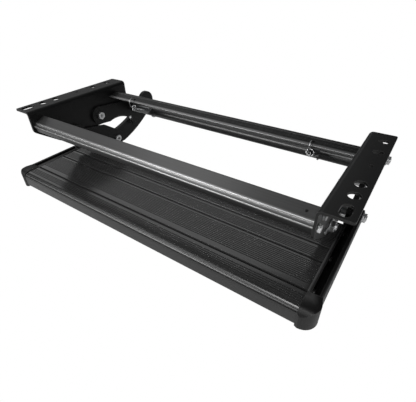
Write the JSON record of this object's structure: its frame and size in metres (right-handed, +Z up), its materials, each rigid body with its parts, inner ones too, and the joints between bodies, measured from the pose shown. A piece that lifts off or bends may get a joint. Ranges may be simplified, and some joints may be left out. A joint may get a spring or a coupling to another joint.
{
  "type": "caravan pull out step",
  "caption": "Retractable entry step: bent side brackets and two rails carry a ribbed tread on parallel swing arms, drawn back by coil springs.",
  "frame": {"origin": "centre of the four round fixing holes, at the level of the flange tops that lie against the vehicle floor", "axes": "+X across the step to its right seen from the door, +Y away from the door edge towards the middle of the vehicle, +Z up"},
  "size_m": [0.55, 0.336, 0.1318],
  "materials": {
    "black_paint": "satin black powder coat",
    "black_anodised": "black anodised, brushed along the extrusion",
    "zinc_steel": "bright zinc plated",
    "spring_wire": "zinc plated spring wire",
    "rubber": "matt black",
    "nylon": "natural nylon"
  },
  "bodies": {
    "frame": {"left_bracket": "black_paint", "right_bracket": "black_paint", "front_rail": "black_anodised", "rear_rail": "black_anodised", "front_rail_screws": "zinc_steel", "rear_rail_screws": "zinc_steel", "front_pivot_bolts": "zinc_steel", "front_pivot_nuts": "zinc_steel", "rear_pivot_bolts": "zinc_steel", "rear_pivot_nuts": "zinc_steel", "pivot_bushes": "nylon", "pivot_washers": "zinc_steel", "stop_pins": "zinc_steel", "stop_sleeves": "rubber"},
    "rear_arms": {"left_rear_arm": "black_paint", "right_rear_arm": "black_paint", "cross_tube": "black_paint", "tread_pins": "black_paint", "pin_clips": "zinc_steel"},
    "front_arms": {"left_front_arm": "black_paint", "right_front_arm": "black_paint"},
    "tread": {"tread_board": "black_anodised", "left_side_arm": "black_paint", "right_side_arm": "black_paint", "tread_screws": "black_paint", "side_arm_bolts": "zinc_steel", "side_arm_spacers": "zinc_steel", "side_arm_washers": "zinc_steel", "side_arm_nuts": "zinc_steel", "tail_bolts": "zinc_steel", "tail_sleeves": "rubber"},
    "springs": {"left_spring": "spring_wire", "right_spring": "spring_wire"}
  },
  "joints": [
    {"name": "step_swing", "type": "hinge", "parent": "frame", "child": "rear_arms", "pos_m": [0, 0.07825, -0.0467], "axis": [-1, 0, 0], "range_deg": [0, 63], "stiffness_Nm_per_rad": 8, "springref_deg": -28.65},
    {"name": "front_arm_swing", "type": "hinge", "parent": "frame", "child": "front_arms", "pos_m": [0, 0.01775, -0.0683], "axis": [-1, 0, 0], "range_deg": [0, 63]},
    {"name": "tread_level", "type": "hinge", "parent": "rear_arms", "child": "tread", "pos_m": [0, 0.16975, -0.0855], "axis": [-1, 0, 0], "range_deg": [-63, 0]},
    {"name": "spring_swing", "type": "hinge", "parent": "frame", "child": "springs", "pos_m": [0, 0.11325, -0.0205], "axis": [-1, 0, 0], "range_deg": [0, 58.6], "deforming": ["left_spring", "right_spring"]}
  ],
  "couplings": [
    {"joint": "front_arm_swing", "follows": "step_swing", "ratio": 1},
    {"joint": "tread_level", "follows": "step_swing", "ratio": -1},
    {"joint": "spring_swing", "follows": "step_swing", "ratio": 0.93}
  ]
}
